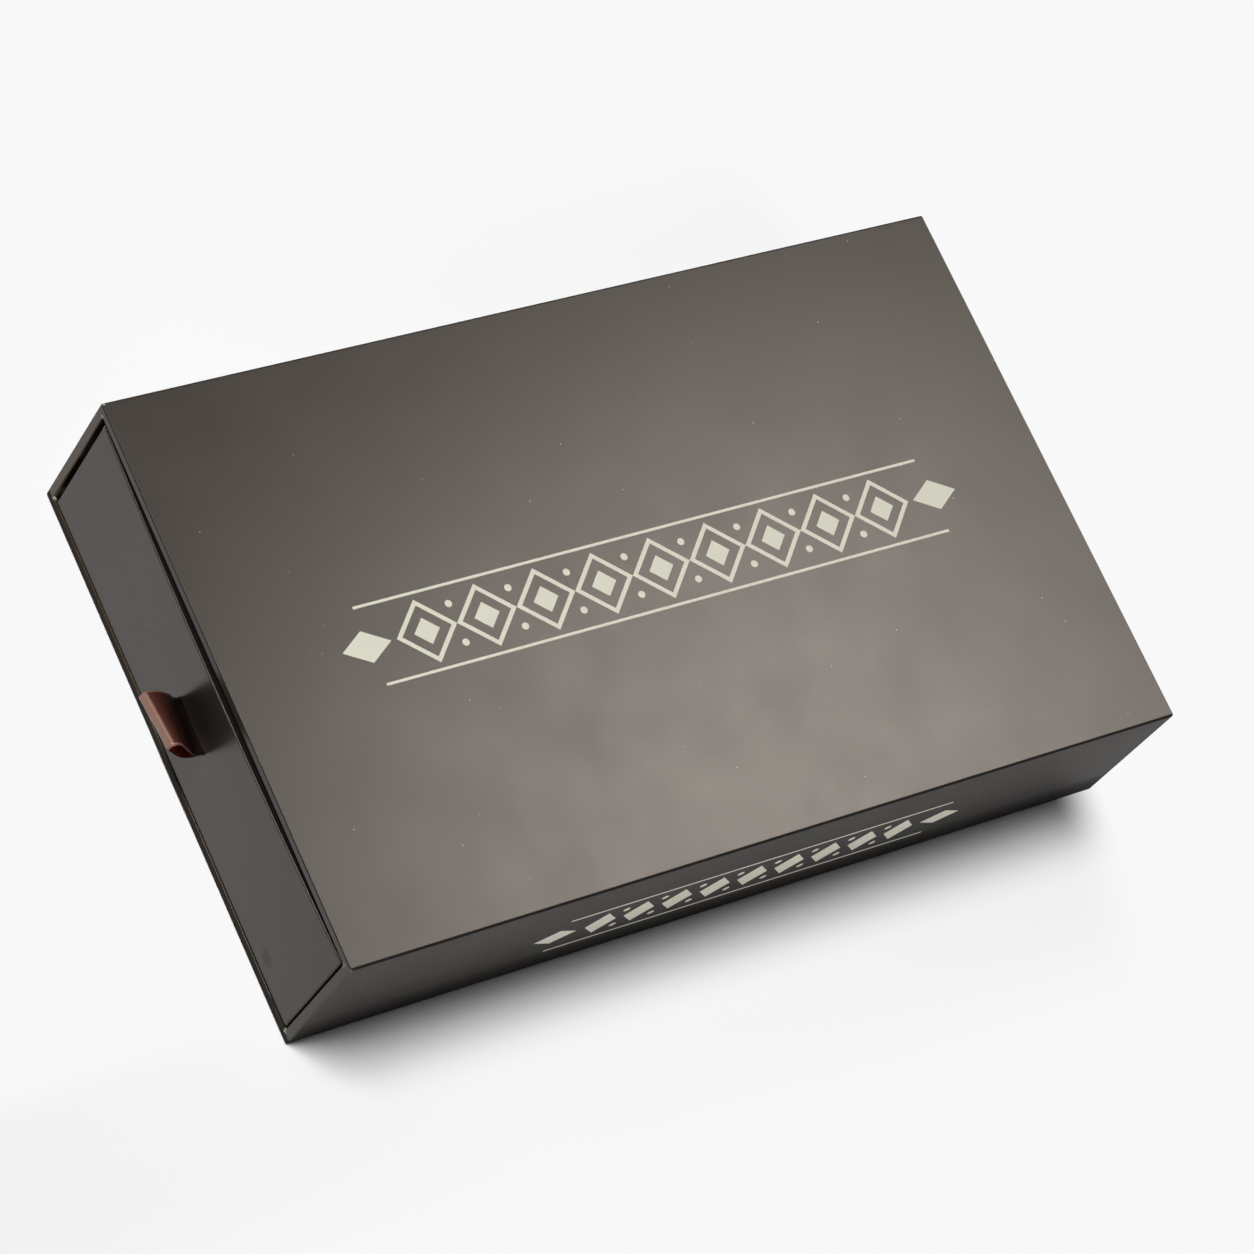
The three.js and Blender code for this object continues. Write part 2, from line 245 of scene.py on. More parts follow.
# Art paper, printed charcoal and matt laminated: a soft broad sheen that dies away at grazing angles and
# towards the foot of the walls, hardly any grain, a few specks of dust and a smudge, low folds rubbed
# brown, and pale core at slit corners. Painted shade: near-black lines along the sleeve's folds, a darker
# foot of the sleeve's walls, and the tray's rim top, inside and underside painted near black
laminatedPaper = {
    "colour": "#282420",
    "cloudColour": "#2c2824",
    "wornColour": "#4d3b22",
    "coreColour": "#d9d2c4",
    # painted shade: near black, for the dark lines along the folds, the dark foot of the walls and the tray's
    # shaded rim
    "paintedShadeColour": "#0d0b09",
    "sheenTint": "#fff2e6",
    "ior": 1.33,
    "roughness": 0.3,
    "cloudRoughness": 0.02,  # how far the clouds change it, up and down
    "grazingRoughness": 0.55,
    "grazingFrom": 0.6,  # as 1 minus the cosine of the viewing angle
    "grazingTo": 0.78,
    "cloudSize": 22 * mm,
    "peelSize": 1.4 * mm,
    "peelDepth": 0.03 * mm,
    "fibreSize": 0.35 * mm,  # coarser than real fibres, so that it shows
    "fibreDepth": 0.02 * mm,
    "bump": 0.05,
    "wornWidth": 0.7 * mm,
    "wornPatch": 5 * mm,
    "wornSleeve": (0.3, 0.8),  # how far the folds are browned, in the least and the most rubbed patches
    "wornTray": (0.1, 0.35),
    "wornRim": 0.75,  # how far the rims near the rubbed folds are browned
    "handledReach": 70 * mm,  # the sleeve is rubbed on the left and low down, and no more past here
    "handledRise": 1.5,  # how much sooner it ends upwards than to the right
    "cleanTop": 4 * mm,  # the rubbing fades out over this much below the top
    "creaseShadeWidth": 1.2 * mm,
    "creaseShadeShare": 0.9,
    "flatDepth": 0.06 * mm,  # less deep than this is the flat face itself, which gets no painted crease shade
    "footShadeHeight": 30 * mm,  # the walls are duller, and painted darker as shade, below this height
    "footShadeShare": 0.85,
    "speckSpacing": 6 * mm,
    "speckRadius": 0.18 * mm,
    "dustShare": 0.5,
    "nickRadius": 0.75 * mm,
    "nickPatch": 0.8 * mm,
    "smudgePlace": Vector((55.4, -119.9, 8.7)) * mm,
    "smudgeRadius": 3 * mm,
    # painted shade: the tray's wrap is painted near black from this far inside its outer faces
    "rimShadeFrom": 0.35 * mm,
}


def boxDepths(tree, place, low, high):  # how deep a point lies behind the box's faces, for each axis
    middle = (Vector(low) + Vector(high)) / 2
    half = (Vector(high) - Vector(low)) / 2
    centred = addNode(tree, "VectorMath", {"operation": "SUBTRACT", 1: middle}, {0: place})
    folded = addNode(tree, "VectorMath", {"operation": "ABSOLUTE"}, {0: centred.outputs[0]})
    depths = addNode(tree, "VectorMath", {"operation": "SUBTRACT", 0: half}, {1: folded.outputs[0]})
    return addNode(tree, "SeparateXYZ", {}, {0: depths.outputs[0]}).outputs


def middleOfThree(tree, first, second, third):  # on a box's skin, the distance to its nearest edge
    lesser = addNode(tree, "Math", {"operation": "MINIMUM"}, {0: first, 1: second}).outputs[0]
    greater = addNode(tree, "Math", {"operation": "MAXIMUM"}, {0: first, 1: second}).outputs[0]
    capped = addNode(tree, "Math", {"operation": "MINIMUM"}, {0: greater, 1: third}).outputs[0]
    return addNode(tree, "Math", {"operation": "MAXIMUM"}, {0: lesser, 1: capped}).outputs[0]


def unbentPlace(tree, place):  # the place that a point of the tray has without the bow of its front
    parts = addNode(tree, "SeparateXYZ", {}, {0: place}).outputs
    across = addNode(tree, "MapRange", {"clamp": False, "From Min": trayMiddle, "From Max": trayHigh.x},
                     {"Value": parts[0]})
    square = addNode(tree, "Math", {"operation": "MULTIPLY"}, {0: across.outputs[0], 1: across.outputs[0]})
    bulge = addNode(tree, "MapRange", {"From Max": 1, "To Min": drawerFront["bow"], "To Max": 0},
                    {"Value": square.outputs[0]})
    up = addNode(tree, "MapRange", {"From Min": undersideLow.z, "From Max": trayHigh.z}, {"Value": parts[2]})
    inFront = addNode(tree, "Math", {"operation": "LESS_THAN", 1: 0}, {0: parts[1]})
    back = addNode(tree, "Math", {"operation": "MULTIPLY"}, {0: bulge.outputs[0], 1: up.outputs[0]})
    back = addNode(tree, "Math", {"operation": "MULTIPLY"}, {0: back.outputs[0], 1: inFront.outputs[0]})
    y = addNode(tree, "Math", {"operation": "ADD"}, {0: parts[1], 1: back.outputs[0]})
    return addNode(tree, "CombineXYZ", {}, {0: parts[0], 1: y.outputs[0], 2: parts[2]}).outputs[0]


def makeLaminatedPaper(name, low, high, rimAxis, look):  # the rim of the open side faces along rimAxis
    material, tree, place = startMaterial(name)
    ofTray = rimAxis == 2
    clouds = addNode(tree, "TexNoise", {"Scale": 1 / look["cloudSize"], "Detail": 3, "Roughness": 0.6},
                     {"Vector": place}).outputs["Fac"]
    colour = addNode(tree, "Mix", {"data_type": "RGBA", 6: toLinear(look["colour"]),
                                   7: toLinear(look["cloudColour"])}, {0: clouds})

    flatPlace = unbentPlace(tree, place) if ofTray else place
    depths = boxDepths(tree, flatPlace, low, high)
    across, along = [axis for axis in range(3) if axis != rimAxis]
    parts = addNode(tree, "SeparateXYZ", {}, {0: place}).outputs
    openSide = addNode(tree, "Math", {"operation": "GREATER_THAN" if ofTray else "LESS_THAN",
                                      1: (low[rimAxis] + high[rimAxis]) / 2}, {0: parts[rimAxis]})
    onRim = addNode(tree, "Math", {"operation": "LESS_THAN", 1: 0.3 * wallThickness}, {0: depths[rimAxis]})
    onRim = addNode(tree, "Math", {"operation": "MULTIPLY"}, {0: onRim.outputs[0], 1: openSide.outputs[0]})
    rubbed = addNode(tree, "TexNoise", {"Scale": 1 / look["wornPatch"], "Detail": 5, "Roughness": 0.7},
                     {"Vector": place})
    least, most = look["wornTray"] if ofTray else look["wornSleeve"]
    rubbedMore = addNode(tree, "MapRange", {"From Min": 0.4, "From Max": 0.7, "To Min": least, "To Max": most},
                         {"Value": rubbed.outputs["Fac"]})
    atFold = addNode(tree, "MapRange", {"interpolation_type": "SMOOTHSTEP", "From Min": look["wornWidth"],
                                        "From Max": 0},
                     {"Value": middleOfThree(tree, depths[0], depths[1], depths[2])})
    browned = addNode(tree, "Math", {"operation": "MULTIPLY", 1: look["wornRim"]}, {0: onRim.outputs[0]})
    worn = addNode(tree, "Math", {"operation": "MAXIMUM"}, {0: atFold.outputs[0], 1: browned.outputs[0]})
    worn = addNode(tree, "Math", {"operation": "MULTIPLY"}, {0: worn.outputs[0], 1: rubbedMore.outputs[0]})
    if not ofTray:
        leftAndLow = addNode(tree, "Math", {"operation": "MULTIPLY_ADD", 1: look["handledRise"]},
                             {0: parts[2], 2: parts[0]})
        handled = addNode(tree, "MapRange", {"interpolation_type": "SMOOTHSTEP", "From Min": 0,
                                             "From Max": look["handledReach"], "To Min": 1, "To Max": 0},
                          {"Value": leftAndLow.outputs[0]})
        notTop = addNode(tree, "MapRange", {"From Min": sleeveHigh.z - look["cleanTop"],
                                            "From Max": sleeveHigh.z - wallThickness, "To Min": 1, "To Max": 0},
                         {"Value": parts[2]})
        worn = addNode(tree, "Math", {"operation": "MULTIPLY"}, {0: worn.outputs[0], 1: handled.outputs[0]})
        worn = addNode(tree, "Math", {"operation": "MULTIPLY"}, {0: worn.outputs[0], 1: notTop.outputs[0]})
    colour = addNode(tree, "Mix", {"data_type": "RGBA", 7: toLinear(look["wornColour"])},
                     {0: worn.outputs[0], 6: colour.outputs[2]})

    inRim = addNode(tree, "CombineXYZ", {}, {0: depths[across], 1: depths[along]}).outputs[0]
    toOuter = addNode(tree, "VectorMath", {"operation": "LENGTH"}, {0: inRim}).outputs["Value"]
    toInner = addNode(tree, "VectorMath", {"operation": "DISTANCE", 1: (wallThickness, wallThickness, 0)},
                      {0: inRim}).outputs["Value"]
    toCorner = addNode(tree, "Math", {"operation": "MINIMUM"}, {0: toOuter, 1: toInner})
    atCorner = addNode(tree, "MapRange", {"From Min": look["nickRadius"], "From Max": 0.4 * look["nickRadius"]},
                       {"Value": toCorner.outputs[0]})
    torn = addNode(tree, "TexNoise", {"Scale": 1 / look["nickPatch"], "Detail": 2}, {"Vector": place})
    torn = addNode(tree, "MapRange", {"From Min": 0.42, "From Max": 0.55}, {"Value": torn.outputs["Fac"]})
    nick = addNode(tree, "Math", {"operation": "MULTIPLY"}, {0: atCorner.outputs[0], 1: onRim.outputs[0]})
    nick = addNode(tree, "Math", {"operation": "MULTIPLY"}, {0: nick.outputs[0], 1: torn.outputs[0]})

    specks = addNode(tree, "TexVoronoi", {"Scale": 1 / look["speckSpacing"]}, {"Vector": place})
    speckShare = look["speckRadius"] / look["speckSpacing"]
    dusty = addNode(tree, "MapRange", {"From Min": speckShare, "From Max": 0.4 * speckShare,
                                       "To Max": look["dustShare"]}, {"Value": specks.outputs["Distance"]})
    bare = addNode(tree, "Math", {"operation": "MAXIMUM"}, {0: nick.outputs[0], 1: dusty.outputs[0]})
    colour = addNode(tree, "Mix", {"data_type": "RGBA", 7: toLinear(look["coreColour"])},
                     {0: bare.outputs[0], 6: colour.outputs[2]})

    offSmudge = addNode(tree, "VectorMath", {"operation": "DISTANCE", 1: look["smudgePlace"]},
                        {0: place}).outputs["Value"]
    smudged = addNode(tree, "MapRange", {"interpolation_type": "SMOOTHSTEP", "From Min": look["smudgeRadius"],
                                         "From Max": 0.5 * look["smudgeRadius"]}, {"Value": offSmudge})
    colour = addNode(tree, "Mix", {"data_type": "RGBA", 7: (0, 0, 0, 1)},
                     {0: smudged.outputs[0], 6: colour.outputs[2]})

    roughness = addNode(tree, "MapRange", {"From Min": 0.3, "From Max": 0.7,
                                           "To Min": look["roughness"] - look["cloudRoughness"],
                                           "To Max": look["roughness"] + look["cloudRoughness"]},
                        {"Value": clouds})
    facing = addNode(tree, "LayerWeight", {"Blend": 0.5}).outputs["Facing"]
    grazing = addNode(tree, "MapRange", {"From Min": look["grazingFrom"], "From Max": look["grazingTo"],
                                         "To Max": look["grazingRoughness"] - look["roughness"]},
                      {"Value": facing})
    roughness = addNode(tree, "Math", {"operation": "ADD"}, {0: roughness.outputs[0], 1: grazing.outputs[0]})
    if ofTray:  # painted shade: from just behind its outer fold inwards, the rim's top, the inside and the underside are painted near black and made rough, for the deep shade under the sleeve's top
        nearest = addNode(tree, "Math", {"operation": "MINIMUM"}, {0: depths[across], 1: depths[along]})
        dark = addNode(tree, "Math", {"operation": "GREATER_THAN", 1: look["rimShadeFrom"]},
                       {0: nearest.outputs[0]})
    else:  # painted shade: dark lines along the top and foot folds, less on the rims, and the foot of the walls painted darker and made duller
        narrower = addNode(tree, "Math", {"operation": "MULTIPLY_ADD", 1: 1.5, 2: 1}, {0: onRim.outputs[0]})
        below = addNode(tree, "Math", {"operation": "MULTIPLY"}, {0: depths[2], 1: narrower.outputs[0]})
        creaseShadeMask = addNode(tree, "MapRange", {"From Min": look["creaseShadeWidth"],
                                              "From Max": 0.6 * look["creaseShadeWidth"],
                                              "To Max": look["creaseShadeShare"]}, {"Value": below.outputs[0]})
        offFlat = addNode(tree, "Math", {"operation": "GREATER_THAN", 1: look["flatDepth"]}, {0: depths[2]})
        # painted shade: the walls darken towards their foot, but not on the mouth's rim above the base
        low = addNode(tree, "MapRange", {"interpolation_type": "SMOOTHSTEP", "From Min": look["footShadeHeight"],
                                         "From Max": 0, "To Max": look["footShadeShare"]}, {"Value": parts[2]})
        aboveBase = addNode(tree, "Math", {"operation": "GREATER_THAN", 1: wallThickness}, {0: parts[2]})
        onUpright = addNode(tree, "Math", {"operation": "MULTIPLY"},
                            {0: onRim.outputs[0], 1: aboveBase.outputs[0]})
        offRim = addNode(tree, "Math", {"operation": "SUBTRACT", 0: 1}, {1: onUpright.outputs[0]})
        low = addNode(tree, "Math", {"operation": "MULTIPLY"}, {0: low.outputs[0], 1: offRim.outputs[0]})
        dark = addNode(tree, "Math", {"operation": "MULTIPLY"}, {0: creaseShadeMask.outputs[0], 1: offFlat.outputs[0]})
        dark = addNode(tree, "Math", {"operation": "MAXIMUM"}, {0: dark.outputs[0], 1: low.outputs[0]})
    # the painted shade goes into the colour here, and raises the roughness
    colour = addNode(tree, "Mix", {"data_type": "RGBA", 7: toLinear(look["paintedShadeColour"])},
                     {0: dark.outputs[0], 6: colour.outputs[2]})
    roughness = addNode(tree, "Math", {"operation": "MAXIMUM"}, {0: roughness.outputs[0], 1: dark.outputs[0]})
    fibres = addNode(tree, "TexNoise", {"Scale": 1 / look["fibreSize"], "Detail": 2}, {"Vector": place})
    peel = addNode(tree, "TexNoise", {"Scale": 1 / look["peelSize"], "Detail": 1}, {"Vector": place})
    grain = addNode(tree, "Bump", {"Strength": look["bump"], "Distance": look["fibreDepth"]},
                    {"Height": fibres.outputs["Fac"]})
    surface = addNode(tree, "Bump", {"Strength": look["bump"], "Distance": look["peelDepth"]},
                      {"Height": peel.outputs["Fac"], "Normal": grain.outputs[0]})
    shader = addNode(tree, "BsdfPrincipled", {"IOR": look["ior"], "Specular Tint": toLinear(look["sheenTint"])},
                     {"Base Color": colour.outputs[2], "Roughness": roughness.outputs[0],
                      "Normal": surface.outputs[0]})
    finishMaterial(tree, shader)
    return material


# Black dyed lining paper: flat and matt, with a fine felted grain
liningPaper = {"colour": "#1b1917", "fibreColour": "#2b2825", "roughness": 0.85, "fibreSize": 0.6 * mm,
               "detail": 6, "bump": 0.3, "depth": 0.05 * mm, "stretch": 1}

# Greyboard of pressed waste paper: grey-brown and matt, flecked with darker and lighter fibres
greyboard = {"colour": "#9a9387", "fibreColour": "#6f695f", "roughness": 0.95, "fibreSize": 1.2 * mm,
             "detail": 8, "bump": 0.5, "depth": 0.05 * mm, "stretch": 1}

# Gummed kraft tape: golden brown and calendered, with long streaks of fibre
kraftTape = {"colour": "#b29168", "fibreColour": "#8d6d47", "roughness": 0.7, "fibreSize": 2 * mm,
             "detail": 6, "bump": 0.3, "depth": 0.05 * mm, "stretch": 6}


def makePlainPaper(name, look):
    material, tree, place = startMaterial(name)
    turned = addNode(tree, "Mapping", {"Scale": (1, 1 / look["stretch"], 1)}, {"Vector": place})
    fibres = addNode(tree, "TexNoise", {"Scale": 1 / look["fibreSize"], "Detail": look["detail"],
                                        "Roughness": 0.7}, {"Vector": turned.outputs[0]}).outputs["Fac"]
    spread = addNode(tree, "MapRange", {"From Min": 0.35, "From Max": 0.65}, {"Value": fibres})
    colour = addNode(tree, "Mix", {"data_type": "RGBA", 6: toLinear(look["colour"]),
                                   7: toLinear(look["fibreColour"])}, {0: spread.outputs[0]})
    surface = addNode(tree, "Bump", {"Strength": look["bump"], "Distance": look["depth"]}, {"Height": fibres})
    shader = addNode(tree, "BsdfPrincipled", {"Roughness": look["roughness"]},
                     {"Base Color": colour.outputs[2], "Normal": surface.outputs[0]})
    finishMaterial(tree, shader)
    return material


sleevePaper = makeLaminatedPaper("charcoal_laminated_paper_sleeve", sleeveLow, sleeveHigh, 1, laminatedPaper)
trayPaper = makeLaminatedPaper("charcoal_laminated_paper_tray", (trayLow.x, trayFrontY, trayLow.z), trayHigh, 2,
                               laminatedPaper)
blackLining = makePlainPaper("black_lining_paper", liningPaper)
board = makePlainPaper("greyboard", greyboard)
tape = makePlainPaper("gummed_kraft_tape", kraftTape)
print("paper and board materials made")


# Boards and stays of the frame
def dressFrameNodes():
    for name, node in frame["nodes"].items():
        if name.endswith("_board") or name.endswith("_stay"):
            node.data.materials.clear()
            node.data.materials.append(board if name.endswith("_board") else tape)


dressFrameNodes()
print("boards and stays dressed")


# Sleeve: printed wrap over the mouth and inside, lining, and the two cover papers
sleeveFolds = {
    "longEdge": 0.6 * mm,
    "mouthEdge": 0.3 * mm,
    "backEdge": 0.3 * mm,
    "coverEdge": 0.05 * mm,
    "turnIn": 15 * mm,
    "backFlap": 15 * mm,
    "seamFromWall": 12 * mm,
    "seamGap": 0.1 * mm,
}


def makeSleeveWrap(folds):
    bm = bmesh.new()
    cubeBetween(bm, sleeveLow, sleeveHigh)
    foldInwards(bm, facesFacing(bm, (0, -1, 0)), wallThickness, folds["turnIn"], (0, 1, 0))
    openInside(bm, facesFacing(bm, (0, 1, 0)), folds["backFlap"])

    def onLongEdge(point):
        level = isNear(point.z, sleeveLow.z) or isNear(point.z, sleeveHigh.z)
        return isNear(abs(point.x), sleeveHigh.x) and level

    longEdges = [edge for edge in edgesWhere(bm, onLongEdge)
                 if edge.calc_length() > 2 * wallThickness
                 and isNear(edge.verts[0].co.x, edge.verts[1].co.x)
                 and isNear(edge.verts[0].co.z, edge.verts[1].co.z)]
    roundEdges(bm, longEdges, folds["longEdge"], 3)
    roundEdges(bm, rimEdges(bm, (0, -1, 0)), folds["mouthEdge"], 4)
    roundEdges(bm, rimEdges(bm, (0, 1, 0)), folds["backEdge"], 4)
    seam = sleeveHigh.x - folds["seamFromWall"]
    cutAt(bm, (seam, seam + folds["seamGap"]), (1, 0, 0))
    dropFaces(bm, lambda place: seam < place.x < seam + folds["seamGap"] and place.z < 2 * wallThickness)
    return bm


def makeSleeveLining():
    bm = bmesh.new()
    wall = Vector((paperThickness, paperThickness, paperThickness))
    cubeBetween(bm, linerLow + wall * Vector((1, 0, 1)), linerHigh - wall)
    bmesh.ops.delete(bm, geom=facesFacing(bm, (0, -1, 0)), context="FACES")
    bmesh.ops.reverse_faces(bm, faces=bm.faces[:])
    return bm


def makeFlatPaper(low, high, corner):
    bm = bmesh.new()
    cubeBetween(bm, low, high)
    roundEdges(bm, bm.edges[:], corner, 2)
    return bm


addPiece("sleeveWrap", makeSleeveWrap(sleeveFolds), sleevePaper, "sleeve", ["sleeve_wrap"],
         paperThickness)
addPiece("sleeveLining", makeSleeveLining(), blackLining, "sleeve", ["sleeve_liner"],
         paperThickness)
for node, name in (("sleeve_base_paper", "sleeveBasePaper"), ("sleeve_back_paper", "sleeveBackPaper")):
    addPiece(name, makeFlatPaper(*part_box(node), sleeveFolds["coverEdge"]), sleevePaper, "sleeve", [node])
print("sleeve made")


# Foil stamped bands of lozenges, a common border, on the top and on the right side
foilBands = {
    "line": 1.1 * mm,
    "rule": 0.7 * mm,
    "bead": 0.95 * mm,
    "beadOffset": 0.62,  # off the middle line, as a share of a lozenge's half height
    "clearance": 3,  # from a lozenge's point to the band's edge, in widths of the rule
    "heart": 0.42,  # the inner lozenge's share of the outer one
    "loneHeart": 0.8,  # and where it has no outer one
    "tip": 0.7,  # room at each end for a lying lozenge, as a share of the band's height
    "tipPlace": 0.55,  # its middle and its half length, as shares of that room
    "tipHalfLength": 0.45,
    "tipHalfHeight": 0.2,  # as a share of the band's height
    "thickness": 0.05 * mm,
    "proud": 0.03 * mm,
    "bands": {
        "foilBandTop": {"face": "top", "middle": (1 * mm, 0.5 * mm), "length": 179 * mm,
                        "height": 21 * mm, "count": 9, "outlined": True},
        "foilBandSide": {"face": "right", "middle": (3 * mm, 20 * mm), "length": 126 * mm,
                         "height": 19 * mm, "count": 9, "outlined": False},
    },
}


def addLozenge(bm, along, halfLength, halfHeight, line=0):  # an outline where a line is given
    corners = bmesh.ops.create_circle(bm, cap_ends=True, segments=4, radius=1)["verts"]
    bmesh.ops.scale(bm, vec=(halfLength, halfHeight, 1), verts=corners)
    bmesh.ops.translate(bm, vec=(along, 0, 0), verts=corners)
    if line:
        filled = [face for face in bm.faces if set(face.verts) == set(corners)]
        bmesh.ops.inset_region(bm, faces=filled, thickness=line, use_even_offset=True, use_boundary=True)
        bmesh.ops.delete(bm, geom=filled, context="FACES")


def addBead(bm, along, across, radius):
    rim = bmesh.ops.create_circle(bm, cap_ends=True, segments=16, radius=radius)["verts"]
    bmesh.ops.translate(bm, vec=(along, across, 0), verts=rim)


def addRule(bm, across, length, width):
    corners = bmesh.ops.create_grid(bm, x_segments=1, y_segments=1, size=0.5)["verts"]
    bmesh.ops.scale(bm, vec=(length, width, 1), verts=corners)
    bmesh.ops.translate(bm, vec=(0, across, 0), verts=corners)


def makeFoilBand(band, look):  # drawn flat, then turned onto its face
    bm = bmesh.new()
    tip = look["tip"] * band["height"]
    chain = band["length"] - 2 * tip
    half = chain / band["count"] / 2
    halfHeight = band["height"] / 2 - look["clearance"] * look["rule"]
    heart = look["heart"] if band["outlined"] else look["loneHeart"]
    for step in range(band["count"]):
        along = (2 * step + 1) * half - chain / 2
        if band["outlined"]:
            addLozenge(bm, along, half, halfHeight, look["line"])
        addLozenge(bm, along, half * heart, halfHeight * heart)
        if step:
            for across in (-look["beadOffset"], look["beadOffset"]):
                addBead(bm, along - half, across * halfHeight, look["bead"])
    for end in (-1, 1):
        addLozenge(bm, end * (chain / 2 + look["tipPlace"] * tip), look["tipHalfLength"] * tip,
                   look["tipHalfHeight"] * band["height"])
        addRule(bm, end * (band["height"] - look["rule"]) / 2, chain + tip, look["rule"])
    if band["face"] == "top":
        onto = Matrix.Rotation(math.pi / 2, 4, "Z")
        middle = (*band["middle"], sleeveHigh.z + look["proud"])
    else:
        onto = Matrix(((0, 0, 1), (1, 0, 0), (0, 1, 0))).to_4x4()
        middle = (sleeveHigh.x + look["proud"], *band["middle"])
    bmesh.ops.transform(bm, matrix=Matrix.Translation(middle) @ onto, verts=bm.verts)
    return bm


# Matt champagne foil, hot stamped: a pale, slightly metallic film with a soft satin shine,
# a little uneven in tone where it was pressed
champagneFoil = {
    "colour": "#fbf8e6",
    "unevenColour": "#f1eeda",
    "metallic": 0.3,
    "roughness": (0.32, 0.42),  # in the smoothest and the roughest patches
    "patchSize": 3 * mm,
    "grainSize": 0.4 * mm,
    "grainDepth": 0.02 * mm,
    "bump": 0.15,
}


def makeFoil(look):
    material, tree, place = startMaterial("champagne_stamping_foil")
    patches = addNode(tree, "TexNoise", {"Scale": 1 / look["patchSize"], "Detail": 3},
                      {"Vector": place}).outputs["Fac"]
    colour = addNode(tree, "Mix", {"data_type": "RGBA", 6: toLinear(look["colour"]),
                                   7: toLinear(look["unevenColour"])}, {0: patches})
    smoothest, roughest = look["roughness"]
    roughness = addNode(tree, "MapRange", {"From Min": 0.3, "From Max": 0.7, "To Min": smoothest,
                                           "To Max": roughest}, {"Value": patches})
    grain = addNode(tree, "TexNoise", {"Scale": 1 / look["grainSize"], "Detail": 2}, {"Vector": place})
    surface = addNode(tree, "Bump", {"Strength": look["bump"], "Distance": look["grainDepth"]},
                      {"Height": grain.outputs["Fac"]})
    shader = addNode(tree, "BsdfPrincipled", {"Metallic": look["metallic"]},
                     {"Base Color": colour.outputs[2], "Roughness": roughness.outputs[0],
                      "Normal": surface.outputs[0]})
    finishMaterial(tree, shader)
    return material


foil = makeFoil(champagneFoil)
for name, band in foilBands["bands"].items():
    addPiece(name, makeFoilBand(band, foilBands), foil, "sleeve", thickness=foilBands["thickness"])
print("foil bands made")


# Tray: wrap over the rim and down the inside with the ribbon's slot, and its papers
trayFolds = {
    "uprightEdge": 0.7 * mm,
    "rimEdge": 0.4 * mm,
    "footEdge": 0.4 * mm,
    "underFlap": 15 * mm,
}


def makeTrayWrap(folds):
    bm = bmesh.new()
    cubeBetween(bm, (trayLow.x, trayFrontY, trayLow.z), trayHigh)
    foldInwards(bm, facesFacing(bm, (0, 0, 1)), wallThickness, trayHigh.z - floorPaperLow.z, (0, 0, -1))
    openInside(bm, facesFacing(bm, (0, 0, -1)), folds["underFlap"])

    def onUpright(point):
        atSide = isNear(point.x, trayLow.x) or isNear(point.x, trayHigh.x)
        return atSide and (isNear(point.y, trayFrontY) or isNear(point.y, trayHigh.y))

    uprights = [edge for edge in edgesWhere(bm, onUpright)
                if not isNear(edge.verts[0].co.z, edge.verts[1].co.z)]
    roundEdges(bm, uprights, folds["uprightEdge"], 4)
    roundEdges(bm, rimEdges(bm, (0, 0, 1)), folds["rimEdge"], 4)
    roundEdges(bm, rimEdges(bm, (0, 0, -1)), folds["footEdge"], 3)
    cutAt(bm, evenPlaces(trayLow.x, trayHigh.x, drawerFront["columns"]), (1, 0, 0))
    slotX = (trayMiddle - drawerFront["slotHalfWidth"], trayMiddle + drawerFront["slotHalfWidth"])
    slotZ = (ribbonRoot.z - drawerFront["slotHalfHeight"], ribbonRoot.z + drawerFront["slotHalfHeight"])
    cutAt(bm, slotX, (1, 0, 0))
    cutAt(bm, slotZ, (0, 0, 1))
    dropFaces(bm, lambda place: slotX[0] < place.x < slotX[1] and slotZ[0] < place.z < slotZ[1]
              and place.y < 0)
    bowFront(bm)
    return bm


def makeTrayPaper(low, high):
    bm = bmesh.new()
    cubeBetween(bm, (low.x, trayFrontY + (low.x - trayLow.x), low.z), high)
    cutAt(bm, evenPlaces(low.x, high.x, drawerFront["columns"]), (1, 0, 0))
    bowFront(bm)
    return bm


addPiece("trayWrap", makeTrayWrap(trayFolds), trayPaper, "tray", ["tray_wrap"],
         paperThickness)
addPiece("trayFloorPaper", makeTrayPaper(floorPaperLow, floorPaperHigh), blackLining, "tray",
         ["tray_floor_paper"])
addPiece("trayUndersidePaper", makeTrayPaper(undersideLow, undersideHigh), blackLining, "tray",
         ["tray_underside_paper"])
print("tray made")


# Ribbon: double-faced satin, glued inside the drawer front and looped out through the slot
ribbonShape = {
    "width": 15 * mm,
    "thickness": 0.28 * mm,
    "layerGap": 0.19 * mm,  # each layer's middle from the slot's middle
    "tail": 9 * mm,
    "turn": 0.8 * mm,  # bend from the inside face into the slot
    "neck": 0.6 * mm,  # how far inside the root the layers leave the slot
    "columns": 20,
    "rows": 240,
    # outwards and upwards from the root, in mm: slot, under layer, tip, crest and upper layer
    "farEdge": [(1.4, -0.2), (3.2, 0.6), (5.8, 2.1), (8.7, 4.4), (11.3, 6.5), (12.5, 7.8), (12.4, 8.9),
                (11.8, 9.8), (10.6, 9.9), (8.7, 9.1), (6.1, 6.9), (3.4, 4.1), (1.6, 1.6)],
    "nearEdge": [(1.4, 0.1), (3.0, 0.4), (5.5, 1.7), (8.3, 4.6), (10.7, 7.9), (11.9, 9.5), (11.8, 10.6),
                 (11.3, 11.5), (10.0, 11.5), (8.3, 10.0), (5.3, 5.5), (2.9, 2.1), (1.5, 0.8)],
}


